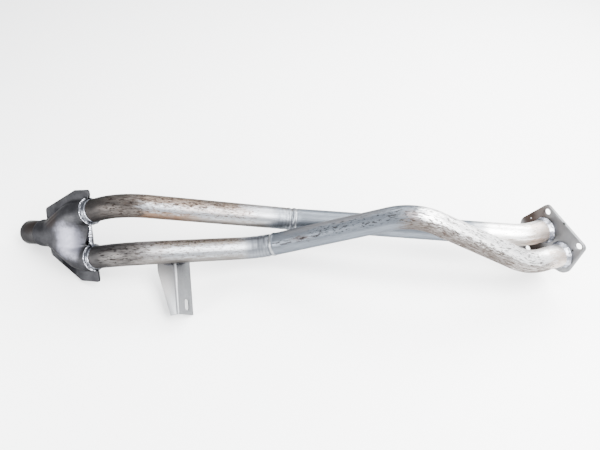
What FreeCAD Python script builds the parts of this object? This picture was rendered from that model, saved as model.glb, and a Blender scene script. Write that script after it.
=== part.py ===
import FreeCAD, Part
import math
import os
import Sketcher
from FreeCAD import Placement, Rotation, Vector

# Exhaust y-pipe: two crossing legs between a shared inlet flange and a pressed collector.
# Frame: millimetres, +Z up, the pipe lies at rest on Z = 0, +X runs from the outlet to the inlet flange.

doc = FreeCAD.newDocument("ExhaustYPipe")
sheet = doc.addObject("Spreadsheet::Sheet", "Sizes")

# Driving dimensions
sizes = [
    ("legOuter", 42, "outside diameter of each leg"),
    ("legWall", 1.5, "wall of each leg"),
    ("bendRadius", 100, "centreline radius of every bend"),
    ("fitGap", 0.15, "radial clearance of a tube in its socket"),
    ("flangeX", 501.7, "middle of the ports on the gasket face"),
    ("flangeY", 30.6, "middle of the ports on the gasket face"),
    ("flangeZ", 78.3, "middle of the ports on the gasket face"),
    ("flangeYaw", 21, "heading of the gasket face normal"),
    ("flangePitch", 4, "dip of the gasket face normal"),
    ("flangeRoll", 10.5, "turn of the flange in its own plane"),
    ("flangeThickness", 5, "plate of the inlet flange"),
    ("portSpacing", 55, "distance between the two ports"),
    ("portRecess", 1.5, "leg end set back from the gasket face"),
    ("boltSlotWidth", 11, "slotted bolt holes of the inlet flange"),
    ("boltSlotLength", 15.5, "slotted bolt holes of the inlet flange"),
    ("boltSlotTurn", 120, "direction of the slots in the plate"),
    ("topBoltY", 49.5, "upper bolt on the rear side"),
    ("topBoltZ", 29.5, "upper bolt on the rear side"),
    ("frontBoltY", -36.5, "bolt above the front port"),
    ("frontBoltZ", 43.5, "bolt above the front port"),
    ("lowBoltY", 27, "lowest bolt"),
    ("lowBoltZ", -69, "lowest bolt"),
    ("topEarY", 10.5, "corner beyond the upper bolt"),
    ("topEarZ", 11.5, "corner beyond the upper bolt"),
    ("topEarRadius", 10, "corner round the upper bolt"),
    ("frontEarY", 11, "corner beyond the front bolt"),
    ("frontEarZ", 12, "corner beyond the front bolt"),
    ("frontEarRadius", 9, "corner round the front bolt"),
    ("portEdge", 33.2, "plate edge from the front port centre"),
    ("portEdgeDrop", 22, "corner below the front port centre"),
    ("portEdgeRadius", 25, "corner round the front port"),
    ("lowEarY", 17.5, "corner beyond the lowest bolt"),
    ("lowEarZ", 24.6, "corner beyond the lowest bolt"),
    ("lowEarRadius", 16, "corner round the lowest bolt"),
    ("shoulderY", 79.5, "wide corner of the plate on the rear side"),
    ("shoulderZ", -36.5, "wide corner of the plate on the rear side"),
    ("shoulderRadius", 22, "wide corner of the plate on the rear side"),
    ("frontPortRun", 76, "plate to the first bend, front leg"),
    ("rearPortRun", 50, "plate to the first bend, rear leg"),
    ("crestX", 217.0, "front leg, bend over the rear leg"),
    ("crestY", 7.5, "front leg, bend over the rear leg"),
    ("crestZ", 175.7, "front leg, bend over the rear leg"),
    ("frontMidX", -53.0, "front leg, low bend"),
    ("frontMidY", 33.5, "front leg, low bend"),
    ("frontMidZ", 46.2, "front leg, low bend"),
    ("rearMidX", 9.5, "rear leg, shallow bend"),
    ("rearMidY", 82.0, "rear leg, shallow bend"),
    ("rearMidZ", 74.2, "rear leg, shallow bend"),
    ("kneeRun", 72, "last bend to the collector mouth"),
    ("frontSkew", 6.5, "front leg against the collector axis"),
    ("rearSkew", 9.5, "rear leg against the collector axis"),
    ("insertDepth", 26, "leg end behind the mouth line"),
    ("collectorX", -349.0, "middle of the collector mouth"),
    ("collectorY", 21.0, "middle of the collector mouth"),
    ("collectorZ", 94.6, "middle of the collector mouth"),
    ("collectorYaw", 158.5, "heading of the outlet axis"),
    ("collectorPitch", 22.5, "dip of the outlet axis"),
    ("collectorRoll", -55, "turn of the seam plane about the outlet axis"),
    ("mouthSpacing", 85, "distance between the leg centres at the mouth"),
    ("sheetThickness", 2, "pressed sheet of the collector"),
    ("frontLip", 11, "front socket edge behind the mouth line"),
    ("rearLip", 7, "rear socket edge behind the mouth line"),
    ("socketLength", 22, "round sockets behind their edges"),
    ("webWidth", 25, "half width of the web between the branches, at its edge"),
    ("webHeight", 3, "half height there"),
    ("webRunStation", 38, "web rising between the branches"),
    ("webRunHeight", 14, "half height there"),
    ("webTopStation", 64, "web nearly level with the branches"),
    ("webTopHeight", 24.5, "half height there"),
    ("webEndWidth", 19, "half width of the web inside the neck"),
    ("webEndHeight", 21, "half height there"),
    ("branchOverlap", 5, "how far the branches start inside their sockets"),
    ("branchStart", 22.6, "radius of the branches there"),
    ("branchEndRadius", 24.9, "radius of the branches inside the neck"),
    ("frontBranchEnd", 123, "end of the front branch there"),
    ("rearBranchEnd", 125, "end of the rear branch there"),
    ("branchStation", 55, "middle of the two branches"),
    ("branchFront", 41, "front branch off the outlet axis"),
    ("branchRear", 36, "rear branch off the outlet axis"),
    ("branchRadius", 24, "radius of the branches there"),
    ("neckStation", 120, "start of the round neck"),
    ("neckLength", 21, "round neck of the shells"),
    ("outletOuter", 47.5, "outside diameter of the outlet tube"),
    ("outletWall", 2, "wall of the outlet tube"),
    ("outletReach", 49, "outlet tube beyond the neck"),
    ("outletInsert", 16, "outlet tube inside the neck"),
    ("sizingStart", 5, "plain tube between the neck and the end sized for a clamp sleeve"),
    ("endSizing", 0.35, "how far sizing widens the radius of that end"),
    ("wingStart", 4, "mouth edge of the seam flange"),
    ("webStart", 17, "edge of the seam flange between the legs"),
    ("frontWingReach", 90, "seam flange on the front side"),
    ("frontWingShoulder", 52, "where its front side starts to taper"),
    ("frontWingEnd", 43, "front side at the outlet end"),
    ("rearWingReach", 81, "seam flange on the rear side"),
    ("rearWingShoulder", 41, "where its rear side starts to taper"),
    ("rearWingEnd", 48, "rear side at the outlet end"),
    ("wingEnd", 132, "outlet end of the seam flange"),
    ("wingCorner", 5, "corner radius of the seam flange"),
    ("bracketStation", 84, "bracket place on the front leg, from its last bend"),
    ("bracketYaw", 40.5, "heading of the slotted face"),
    ("bracketPitch", 49.4, "dip of the slotted face"),
    ("bracketRoll", -50.8, "turn about the slotted face"),
    ("bracketSheet", 2.5, "bracket sheet"),
    ("bracketBend", 3, "inside radius of the fold"),
    ("bracketTop", 8, "bracket top below the leg centreline"),
    ("bracketLength", 105, "length along the fold"),
    ("slotFaceWidth", 41, "width of the slotted face"),
    ("gussetWidth", 42, "width of the tapered face at its shoulder"),
    ("gussetTipWidth", 18, "width of the tapered face at its tip"),
    ("gussetShoulder", 19, "straight side above the taper"),
    ("gussetCorner", 8, "corner radius at the shoulder"),
    ("slotWidth", 11, "bracket slot"),
    ("slotLength", 21, "bracket slot"),
    ("slotFromTip", 18, "slot centre from the tip"),
    ("slotFromFold", 25, "slot centre from the fold"),
    ("portBead", 5, "weld bead at the ports"),
    ("mouthBead", 8, "weld bead at the collector mouth"),
    ("outletBead", 4, "weld bead at the neck"),
    ("bracketBead", 3, "weld bead at the bracket"),
    ("beadToe", 0.8, "thin edge of every bead"),
]
for row, (alias, value, note) in enumerate(sizes, start=1):
    sheet.set("A%d" % row, note)
    sheet.set("B%d" % row, str(value))
    sheet.setAlias("B%d" % row, alias)
doc.recompute()


def size(expression):
    return float(sheet.evalExpression(expression))


# Frames of the two ends: X is the port or outlet axis
flange_frame = Placement(
    Vector(size("flangeX"), size("flangeY"), size("flangeZ")),
    Rotation(size("flangeYaw"), size("flangePitch"), size("flangeRoll")),
)
collector_frame = Placement(
    Vector(size("collectorX"), size("collectorY"), size("collectorZ")),
    Rotation(size("collectorYaw"), size("collectorPitch"), size("collectorRoll")),
)


# A frame whose Z axis points along a direction of another frame
def axis_frame(frame, origin, direction):
    return frame * Placement(origin, Rotation(Vector(0, 0, 1), direction))


def skewed(degrees):
    return Vector(math.cos(math.radians(degrees)), math.sin(math.radians(degrees)), 0)


front_port = Vector(0, -size("portSpacing") / 2, 0)
rear_port = Vector(0, size("portSpacing") / 2, 0)
front_mouth = Vector(0, size("mouthSpacing") / 2, 0)
rear_mouth = Vector(0, -size("mouthSpacing") / 2, 0)
front_entry = skewed(size("frontSkew"))
rear_entry = skewed(size("rearSkew"))


# Bend points of a leg, from its port to the collector
def leg_points(port, port_run, middle, mouth, entry):
    ahead = Vector(1, 0, 0)
    start = flange_frame.multVec(port - ahead * size("portRecess"))
    first_bend = flange_frame.multVec(port - ahead * (size("flangeThickness") + port_run))
    last_bend = collector_frame.multVec(mouth - entry * size("kneeRun"))
    end = collector_frame.multVec(mouth + entry * size("insertDepth"))
    return [start, first_bend] + middle + [last_bend, end]


crest = Vector(size("crestX"), size("crestY"), size("crestZ"))
front_mid = Vector(size("frontMidX"), size("frontMidY"), size("frontMidZ"))
rear_mid = Vector(size("rearMidX"), size("rearMidY"), size("rearMidZ"))
front_points = leg_points(front_port, size("frontPortRun"), [crest, front_mid], front_mouth, front_entry)
rear_points = leg_points(rear_port, size("rearPortRun"), [rear_mid], rear_mouth, rear_entry)


# A bent tube route: straight runs joined by tangent arcs
def bend_route(points, radius):
    edges = []
    here = points[0]
    for before, corner, after in zip(points, points[1:], points[2:]):
        inward = (before - corner).normalize()
        outward = (after - corner).normalize()
        turn = math.pi - inward.getAngle(outward)
        setback = radius * math.tan(turn / 2)
        arc_start = corner + inward * setback
        arc_end = corner + outward * setback
        sagitta = radius / math.cos(turn / 2) - radius
        arc_middle = corner + (inward + outward).normalize() * sagitta
        edges.append(Part.LineSegment(here, arc_start).toShape())
        edges.append(Part.Arc(arc_start, arc_middle, arc_end).toShape())
        here = arc_end
    edges.append(Part.LineSegment(here, points[-1]).toShape())
    return Part.Wire(edges)


def bent_leg(name, points):
    route = doc.addObject("Part::Feature", name + "_route")
    route.Shape = bend_route(points, size("bendRadius"))
    start_frame = Placement(points[0], Rotation(Vector(0, 0, 1), points[1] - points[0]))
    sweeps = []
    for side, radius in (("outside", "Sizes.legOuter / 2"), ("bore", "Sizes.legOuter / 2 - Sizes.legWall")):
        profile = doc.addObject("Part::Circle", "%s_%s_profile" % (name, side))
        profile.setExpression("Radius", radius)
        profile.Placement = start_frame
        sweep = doc.addObject("Part::Sweep", "%s_%s" % (name, side))
        sweep.Sections = [profile]
        sweep.Spine = (route, ["Edge%d" % (n + 1) for n in range(len(route.Shape.Edges))])
        sweep.Solid = True
        sweep.Frenet = False
        sweeps.append(sweep)
    return cut(name, sweeps[0], sweeps[1])


# Part features bound to the sheet
def cylinder(name, radius, height, frame):
    solid = doc.addObject("Part::Cylinder", name)
    solid.setExpression("Radius", radius)
    solid.setExpression("Height", height)
    solid.Placement = frame
    return solid


def cone(name, start_radius, end_radius, height, frame):
    solid = doc.addObject("Part::Cone", name)
    solid.setExpression("Radius1", start_radius)
    solid.setExpression("Radius2", end_radius)
    solid.setExpression("Height", height)
    solid.Placement = frame
    return solid


def cut(name, base, tool):
    result = doc.addObject("Part::Cut", name)
    result.Base = base
    result.Tool = tool
    return result


def common(name, base, tool):
    result = doc.addObject("Part::Common", name)
    result.Base = base
    result.Tool = tool
    return result


def fuse(name, solids):
    result = doc.addObject("Part::MultiFuse", name)
    result.Shapes = solids
    return result


# PartDesign bodies with sketches on their own origin planes
def new_body(name):
    return doc.addObject("PartDesign::Body", name)


def new_sketch(body, name, role):
    plane = [item for item in body.Origin.OriginFeatures if item.Role == role][0]
    sketch = body.newObject("Sketcher::SketchObject", name)
    sketch.AttachmentSupport = [(plane, "")]
    sketch.MapMode = "FlatFace"
    return sketch


def hold(sketch, kind, geometry, point, expression):
    if expression == "0":
        axis = -2 if kind == "DistanceX" else -1
        sketch.addConstraint(Sketcher.Constraint("PointOnObject", geometry, point, axis))
        return
    index = sketch.addConstraint(Sketcher.Constraint(kind, -1, 1, geometry, point, size(expression)))
    sketch.setExpression("Constraints[%d]" % index, expression)


def add_outline(sketch, corners):
    spots = [Vector(size(across), size(up), 0) for across, up in corners]
    count = len(spots)
    first = sketch.GeometryCount
    for n in range(count):
        sketch.addGeometry(Part.LineSegment(spots[n], spots[(n + 1) % count]), False)
    for n in range(count):
        sketch.addConstraint(Sketcher.Constraint("Coincident", first + n, 2, first + (n + 1) % count, 1))
    for n, (across, up) in enumerate(corners):
        hold(sketch, "DistanceX", first + n, 1, across)
        hold(sketch, "DistanceY", first + n, 1, up)


def add_circle(sketch, across, up, radius):
    centre = Vector(size(across), size(up), 0)
    geometry = sketch.addGeometry(Part.Circle(centre, Vector(0, 0, 1), size(radius)), False)
    hold(sketch, "DistanceX", geometry, 3, across)
    hold(sketch, "DistanceY", geometry, 3, up)
    hold_radius(sketch, geometry, radius)


def hold_radius(sketch, geometry, radius):
    index = sketch.addConstraint(Sketcher.Constraint("Radius", geometry, size(radius)))
    sketch.setExpression("Constraints[%d]" % index, radius)


# A round-ended slot about a middle point, turned from the sketch's X axis
def add_slot(sketch, across, up, length, width, turn):
    reach = "(%s - %s) / 2" % (length, width)
    ends = []
    for sign in ("+", "-"):
        end_across = "%s %s %s * cos(%s)" % (across, sign, reach, turn)
        end_up = "%s %s %s * sin(%s)" % (up, sign, reach, turn)
        ends.append((end_across, end_up, Vector(size(end_across), size(end_up), 0)))
    radius = size(width) / 2
    aim = math.radians(size(turn))
    aside = Vector(-math.sin(aim), math.cos(aim), 0) * radius
    upward = Vector(0, 0, 1)
    first = sketch.GeometryCount
    quarter = math.pi / 2
    top, bottom = ends[0][2], ends[1][2]
    top_circle = Part.Circle(top, upward, radius)
    bottom_circle = Part.Circle(bottom, upward, radius)
    sketch.addGeometry(Part.ArcOfCircle(top_circle, aim - quarter, aim + quarter), False)
    sketch.addGeometry(Part.LineSegment(top + aside, bottom + aside), False)
    sketch.addGeometry(Part.ArcOfCircle(bottom_circle, aim + quarter, aim + 3 * quarter), False)
    sketch.addGeometry(Part.LineSegment(bottom - aside, top - aside), False)
    for n in range(4):
        sketch.addConstraint(Sketcher.Constraint("Tangent", first + n, 2, first + (n + 1) % 4, 1))
    for geometry, (end_across, end_up, _) in zip((first, first + 2), ends):
        hold(sketch, "DistanceX", geometry, 3, end_across)
        hold(sketch, "DistanceY", geometry, 3, end_up)
    hold_radius(sketch, first, width + " / 2")


def pad(body, name, profile, length, side="One side", reverse=False):
    feature = body.newObject("PartDesign::Pad", name)
    feature.Profile = profile
    feature.SideType = side
    feature.Reversed = reverse
    feature.setExpression("Length", length)
    doc.recompute()


def pocket_through(body, name, profile):
    before = body.Shape.Volume
    feature = body.newObject("PartDesign::Pocket", name)
    feature.Profile = profile
    feature.Type = "ThroughAll"
    feature.SideType = "Symmetric"
    doc.recompute()
    if body.Shape.Volume >= before:
        raise ValueError(name + " cuts nothing")


# The upright edge of a plate nearest a point of the plate's own frame
def edge_near(shape, point):
    def distance(pair):
        return pair[1].CenterOfMass.distanceToPoint(point)
    number, _ = min(enumerate(shape.Edges, start=1), key=distance)
    return "Edge%d" % number


def round_corner(body, name, point, radius):
    base = body.Tip
    feature = body.newObject("PartDesign::Fillet", name)
    feature.Base = (base, [edge_near(base.Shape, point)])
    feature.setExpression("Radius", radius)
    doc.recompute()


# Front and rear leg
front_leg = bent_leg("front_leg", front_points)
rear_leg = bent_leg("rear_leg", rear_points)

# Inlet flange: a three-bolt plate with two ports
inlet_flange = new_body("inlet_flange")
flange_corners = [
    ("Sizes.topBoltY + Sizes.topEarY", "Sizes.topBoltZ + Sizes.topEarZ", "topEarRadius"),
    ("Sizes.frontBoltY - Sizes.frontEarY", "Sizes.frontBoltZ + Sizes.frontEarZ", "frontEarRadius"),
    ("-Sizes.portSpacing / 2 - Sizes.portEdge", "-Sizes.portEdgeDrop", "portEdgeRadius"),
    ("Sizes.lowBoltY + Sizes.lowEarY", "Sizes.lowBoltZ - Sizes.lowEarZ", "lowEarRadius"),
    ("Sizes.shoulderY", "Sizes.shoulderZ", "shoulderRadius"),
]
flange_outline = new_sketch(inlet_flange, "flange_outline", "YZ_Plane")
add_outline(flange_outline, [corner[:2] for corner in flange_corners])
pad(inlet_flange, "flange_plate", flange_outline, "Sizes.flangeThickness", reverse=True)
for across, up, radius in flange_corners:
    middle = Vector(-size("flangeThickness") / 2, size(across), size(up))
    round_corner(inlet_flange, radius.replace("Radius", "Corner"), middle, "Sizes." + radius)
flange_holes = new_sketch(inlet_flange, "flange_holes", "YZ_Plane")
for across in ("-Sizes.portSpacing / 2", "Sizes.portSpacing / 2"):
    add_circle(flange_holes, across, "0", "Sizes.legOuter / 2 + Sizes.fitGap")
for bolt in ("topBolt", "frontBolt", "lowBolt"):
    add_slot(flange_holes, "Sizes.%sY" % bolt, "Sizes.%sZ" % bolt,
             "Sizes.boltSlotLength", "Sizes.boltSlotWidth", "Sizes.boltSlotTurn")
pocket_through(inlet_flange, "ports_and_bolt_slots", flange_holes)
inlet_flange.Placement = flange_frame


# A round section of the collector, square to the outlet axis
def round_section(name, centre, radius):
    section = doc.addObject("Part::Circle", name)
    section.Radius = radius
    section.Placement = Placement(centre, Rotation(Vector(0, 1, 0), 90))
    return section


# A flat section of the web: a lens of two arcs over the seam plane
def web_section(name, station, half_width, half_height):
    left = Vector(station, -half_width, 0)
    right = Vector(station, half_width, 0)
    upper = Part.Arc(left, Vector(station, 0, half_height), right)
    lower = Part.Arc(right, Vector(station, 0, -half_height), left)
    section = doc.addObject("Part::Feature", name)
    section.Shape = Part.Wire([upper.toShape(), lower.toShape()])
    return section


def ruled_loft(name, sections):
    loft = doc.addObject("Part::Loft", name)
    loft.Sections = sections
    loft.Solid = True
    loft.Ruled = True
    return loft


# One branch: from its socket to the round neck
def branch(name, start, middle, end_station, inset):
    bend = Vector(size("branchStation"), middle, 0)
    neck_end = Vector(end_station, 0, 0)
    return ruled_loft(name, [
        round_section(name + "_start", start, size("branchStart") - inset),
        round_section(name + "_bend", bend, size("branchRadius") - inset),
        round_section(name + "_end", neck_end, size("branchEndRadius") - inset),
    ])


def web(name, inset):
    return ruled_loft(name, [
        web_section(name + "_edge", size("webStart") + inset, size("webWidth"), size("webHeight") - inset / 2),
        web_section(name + "_run", size("webRunStation"), size("branchFront"), size("webRunHeight") - inset),
        web_section(name + "_top", size("webTopStation"), size("branchFront"), size("webTopHeight") - inset),
        web_section(name + "_end", size("neckStation"), size("webEndWidth"), size("webEndHeight") - inset),
    ])


# Collector: one pressed form, split along its seam plane into two shells
raw_outlet = "Sizes.outletOuter / 2 - Sizes.endSizing"
neck_bore = raw_outlet + " + Sizes.fitGap"
neck_outside = size("outletOuter / 2 - endSizing + fitGap + sheetThickness")
bore_of_leg = "Sizes.legOuter / 2 + Sizes.fitGap"
ahead = Vector(1, 0, 0)
here = Placement()

seam_plate = new_body("seam_plate")
seam_corners = [
    ("Sizes.wingStart", "Sizes.frontWingReach"),
    ("Sizes.frontWingShoulder", "Sizes.frontWingReach"),
    ("Sizes.wingEnd", "Sizes.frontWingEnd"),
    ("Sizes.wingEnd", "-Sizes.rearWingEnd"),
    ("Sizes.rearWingShoulder", "-Sizes.rearWingReach"),
    ("Sizes.wingStart", "-Sizes.rearWingReach"),
    ("Sizes.wingStart", "-Sizes.mouthSpacing / 2"),
    ("Sizes.webStart", "-Sizes.mouthSpacing / 2"),
    ("Sizes.webStart", "Sizes.mouthSpacing / 2"),
    ("Sizes.wingStart", "Sizes.mouthSpacing / 2"),
]
seam_outline = new_sketch(seam_plate, "seam_outline", "XY_Plane")
add_outline(seam_outline, seam_corners)
pad(seam_plate, "seam_sheets", seam_outline, "2 * Sizes.sheetThickness", side="Symmetric")
for n, (across, up) in enumerate(seam_corners[:6]):
    corner = Vector(size(across), size(up), 0)
    round_corner(seam_plate, "seam_corner_%d" % n, corner, "Sizes.wingCorner")

sheet_inset = size("sheetThickness")
outer_solids = [web("web_outside", 0), seam_plate]
cavity_solids = [web("web_inside", sheet_inset)]
front_lip = front_mouth + front_entry * size("frontLip")
rear_lip = rear_mouth + rear_entry * size("rearLip")
mouths = [
    ("front", front_lip, size("frontSkew"), size("branchFront"), size("frontBranchEnd")),
    ("rear", rear_lip, size("rearSkew"), -size("branchRear"), size("rearBranchEnd")),
]
for side, lip_centre, skew, middle, end in mouths:
    socket = axis_frame(here, lip_centre, skewed(skew))
    start = lip_centre + skewed(skew) * size("socketLength - branchOverlap")
    outside = bore_of_leg + " + Sizes.sheetThickness"
    outer_solids.append(branch(side + "_branch_outside", start, middle, end, 0))
    outer_solids.append(cylinder(side + "_socket_outside", outside, "Sizes.socketLength", socket))
    cavity_solids.append(branch(side + "_branch_inside", start, middle, end, sheet_inset))
    cavity_solids.append(cylinder(side + "_socket_inside", bore_of_leg, "Sizes.socketLength", socket))
    approach = axis_frame(here, lip_centre - skewed(skew) * size("mouthBead"), skewed(skew))
    bead_room = cylinder(side + "_bead_room", outside + " + Sizes.beadToe", "Sizes.mouthBead", approach)
    cavity_solids.append(bead_room)
neck = axis_frame(here, ahead * size("neckStation"), ahead)
outer_solids.append(cylinder("neck_outside", neck_bore + " + Sizes.sheetThickness", "Sizes.neckLength", neck))
cavity_solids.append(cylinder("neck_inside", neck_bore, "Sizes.neckLength", neck))
collector_outside = fuse("collector_outside", outer_solids)
collector_inside = fuse("collector_inside", cavity_solids)
collector_wall = cut("collector_wall", collector_outside, collector_inside)


near_half = doc.addObject("Part::Box", "near_half")
half_reach = size("neckStation + neckLength")
near_half.setExpression("Length", "2 * (Sizes.neckStation + Sizes.neckLength)")
near_half.setExpression("Width", "2 * (Sizes.neckStation + Sizes.neckLength)")
near_half.setExpression("Height", "Sizes.neckStation + Sizes.neckLength")
near_half.Placement = Placement(Vector(-half_reach / 2, -half_reach, 0), Rotation())
near_shell = common("near_shell", collector_wall, near_half)
near_shell.Placement = collector_frame

# The far shell is the same pressing, mirrored in the seam plane
far_shell = doc.addObject("Part::Mirroring", "far_shell")
far_shell.Source = near_shell
far_shell.Base = collector_frame.Base
far_shell.Normal = collector_frame.Rotation.multVec(Vector(0, 0, 1))

# Outlet tube: pushed into the neck, with its free end sized for a clamp sleeve
outlet_start = axis_frame(here, ahead * size("neckStation + neckLength - outletInsert"), ahead)
sized_start = axis_frame(here, ahead * size("neckStation + neckLength + sizingStart"), ahead)
outlet_run = "Sizes.outletInsert + Sizes.outletReach"
outlet_outside = fuse("outlet_outside", [
    cylinder("raw_end", raw_outlet, outlet_run, outlet_start),
    cylinder("sized_end", "Sizes.outletOuter / 2", "Sizes.outletReach - Sizes.sizingStart", sized_start),
])
outlet_bore = cylinder("outlet_bore", "Sizes.outletOuter / 2 - Sizes.outletWall", outlet_run, outlet_start)
outlet_tube = cut("outlet_tube", outlet_outside, outlet_bore)
outlet_tube.Placement = collector_frame

# Bracket: one folded sheet, coped to the front leg
last_bend = front_points[-2]
leg_run = (front_mid - last_bend).normalize()
bracket_frame = Placement(
    last_bend + leg_run * size("bracketStation"),
    Rotation(size("bracketYaw"), size("bracketPitch"), size("bracketRoll")),
)


bracket_blank = new_body("bracket_blank")
fold_corners = [
    ("0", "0"),
    ("Sizes.slotFaceWidth", "0"),
    ("Sizes.slotFaceWidth", "Sizes.bracketSheet"),
    ("Sizes.bracketSheet", "Sizes.bracketSheet"),
    ("Sizes.bracketSheet", "Sizes.gussetWidth"),
    ("0", "Sizes.gussetWidth"),
]
fold_outline = new_sketch(bracket_blank, "fold_outline", "XY_Plane")
fold_outline.setExpression("AttachmentOffset.Base.z", "-Sizes.bracketTop")
add_outline(fold_outline, fold_corners)
pad(bracket_blank, "folded_sheet", fold_outline, "Sizes.bracketLength", reverse=True)
half_way = -size("bracketTop + bracketLength / 2")
inside = size("bracketSheet")
round_corner(bracket_blank, "fold_outside", Vector(0, 0, half_way), "Sizes.bracketBend + Sizes.bracketSheet")
round_corner(bracket_blank, "fold_inside", Vector(inside, inside, half_way), "Sizes.bracketBend")

taper = new_sketch(bracket_blank, "gusset_taper", "YZ_Plane")
add_outline(taper, [
    ("Sizes.gussetWidth", "-Sizes.bracketTop - Sizes.gussetShoulder"),
    ("Sizes.gussetTipWidth", "-Sizes.bracketTop - Sizes.bracketLength"),
    ("Sizes.gussetWidth", "-Sizes.bracketTop - Sizes.bracketLength"),
])
pocket_through(bracket_blank, "gusset_cut", taper)
shoulder = Vector(inside / 2, size("gussetWidth"), -size("bracketTop + gussetShoulder"))
round_corner(bracket_blank, "gusset_shoulder", shoulder, "Sizes.gussetCorner")

slot = new_sketch(bracket_blank, "slot_outline", "XZ_Plane")
slot_height = "-Sizes.bracketTop - Sizes.bracketLength + Sizes.slotFromTip"
add_slot(slot, "Sizes.slotFromFold", slot_height, "Sizes.slotLength", "Sizes.slotWidth", "90")
pocket_through(bracket_blank, "slot_cut", slot)

bracket_blank.Placement = bracket_frame
run_start = Placement(last_bend, Rotation(Vector(0, 0, 1), leg_run))
bracket_cope = cylinder("bracket_cope", bore_of_leg, "2 * Sizes.bracketStation", run_start)
bracket = cut("bracket", bracket_blank, bracket_cope)

# Weld beads: thin rings between a tube and the edge that it is welded to
def ring_bead(name, tube_radius, edge_radius, width, frame):
    bore = cylinder(name + "_bore", tube_radius, width, frame)
    return cut(name, cone(name + "_outside", tube_radius + " + Sizes.beadToe", edge_radius, width, frame), bore)


for side, port in (("front", front_port), ("rear", rear_port)):
    toe = port - ahead * size("flangeThickness + portBead")
    ring_bead(side + "_port_weld", bore_of_leg, bore_of_leg + " + Sizes.portBead", "Sizes.portBead",
              axis_frame(flange_frame, toe, ahead))
for side, lip_centre, skew, middle, end in mouths:
    toe = lip_centre - skewed(skew) * size("mouthBead")
    ring_bead(side + "_mouth_weld", bore_of_leg, bore_of_leg + " + Sizes.sheetThickness + Sizes.beadToe",
              "Sizes.mouthBead", axis_frame(collector_frame, toe, skewed(skew)))
toe = ahead * size("neckStation + neckLength + outletBead")
ring_bead("outlet_weld", neck_bore, neck_bore + " + Sizes.sheetThickness + Sizes.beadToe / 2",
          "Sizes.outletBead", axis_frame(collector_frame, toe, -ahead))


def bead_strip(name, length, width, along_slot_face):
    strip = doc.addObject("Part::Box", name)
    strip.setExpression("Length" if along_slot_face else "Width", length)
    across = "Width" if along_slot_face else "Length"
    strip.setExpression(across, "Sizes.bracketSheet + 2 * Sizes.bracketBead")
    strip.setExpression("Height", "Sizes.legOuter")
    bead = size("bracketBead")
    drop = -size("bracketTop + legOuter")
    corner = Vector(width, -bead, drop) if along_slot_face else Vector(-bead, width, drop)
    strip.Placement = bracket_frame * Placement(corner, Rotation())
    return strip


fold_side = size("bracketBend + bracketSheet")
fold_room = "Sizes.bracketBend - Sizes.bracketSheet"
bead_strips = fuse("bracket_weld_strips", [
    bead_strip("slot_face_strip", "Sizes.slotFaceWidth - " + fold_room, fold_side, True),
    bead_strip("gusset_strip", "Sizes.gussetWidth - " + fold_room, fold_side, False),
])
bead_collar = cut(
    "bracket_weld_collar",
    cylinder("bracket_weld_outside", bore_of_leg + " + Sizes.bracketBead", "2 * Sizes.bracketStation", run_start),
    cylinder("bracket_weld_bore", bore_of_leg, "2 * Sizes.bracketStation", run_start),
)
bead_blank = common("bracket_weld_blank", bead_strips, bead_collar)
bracket_weld = cut("bracket_weld", bead_blank, bracket)

# Check every feature, then write each piece to its own file
pieces = [
    "front_leg", "rear_leg", "inlet_flange", "near_shell", "far_shell", "outlet_tube", "bracket",
    "front_port_weld", "rear_port_weld", "front_mouth_weld", "rear_mouth_weld", "outlet_weld", "bracket_weld",
]
doc.recompute()
for item in doc.Objects:
    if "Invalid" in item.State or "Error" in item.State:
        raise ValueError("%s failed: %s" % (item.Label, item.State))
os.makedirs("parts", exist_ok=True)
for name in pieces:
    piece = doc.getObject(name)
    shape = piece.Shape
    if shape.isNull() or not shape.isValid() or not shape.Solids:
        raise ValueError(name + " has no valid solid")
    print("%-18s %d solid(s) %12.1f mm3" % (name, len(shape.Solids), shape.Volume))
    shape.exportStep("parts/%s.step" % piece.Label)
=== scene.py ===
import bmesh
import bpy
import math
from mathutils import Matrix, Vector, noise


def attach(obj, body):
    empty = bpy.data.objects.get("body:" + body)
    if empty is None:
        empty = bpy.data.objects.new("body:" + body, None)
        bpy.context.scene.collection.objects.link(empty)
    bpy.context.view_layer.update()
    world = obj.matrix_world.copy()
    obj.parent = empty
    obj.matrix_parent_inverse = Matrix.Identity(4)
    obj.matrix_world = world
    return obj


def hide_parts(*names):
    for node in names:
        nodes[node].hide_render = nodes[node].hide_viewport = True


# Exhaust y-pipe: two bent legs from an inlet flange to a pressed collector.
# Metres, +Z up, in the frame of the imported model.

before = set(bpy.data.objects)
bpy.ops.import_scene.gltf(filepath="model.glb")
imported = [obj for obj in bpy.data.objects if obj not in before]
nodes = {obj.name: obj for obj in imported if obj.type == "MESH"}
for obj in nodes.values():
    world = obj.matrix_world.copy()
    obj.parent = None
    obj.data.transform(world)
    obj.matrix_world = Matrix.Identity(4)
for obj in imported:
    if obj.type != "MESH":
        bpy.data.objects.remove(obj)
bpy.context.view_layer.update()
print("frame loaded:", len(nodes), "nodes")


# puts a finished mesh into the scene as one piece of the part
def linkMesh(bm, name, materials, standsFor, sharpAngle=35):
    mesh = bpy.data.meshes.new(name)
    bm.to_mesh(mesh)
    bm.free()
    for polygon in mesh.polygons:
        polygon.use_smooth = True
    mesh.set_sharp_from_angle(angle=math.radians(sharpAngle))
    piece = bpy.data.objects.new(name, mesh)
    bpy.context.scene.collection.objects.link(piece)
    for material in materials:
        mesh.materials.append(material)
    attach(piece, "root")
    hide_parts(*standsFor)
    return piece


# a matrix whose Z axis runs forward and whose X axis leans towards upward
def frameAt(origin, forward, upward):
    z = Vector(forward).normalized()
    x = (Vector(upward) - z * z.dot(Vector(upward))).normalized()
    y = z.cross(x)
    turned = Matrix((x, y, z)).transposed().to_4x4()
    return Matrix.Translation(Vector(origin)) @ turned


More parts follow.
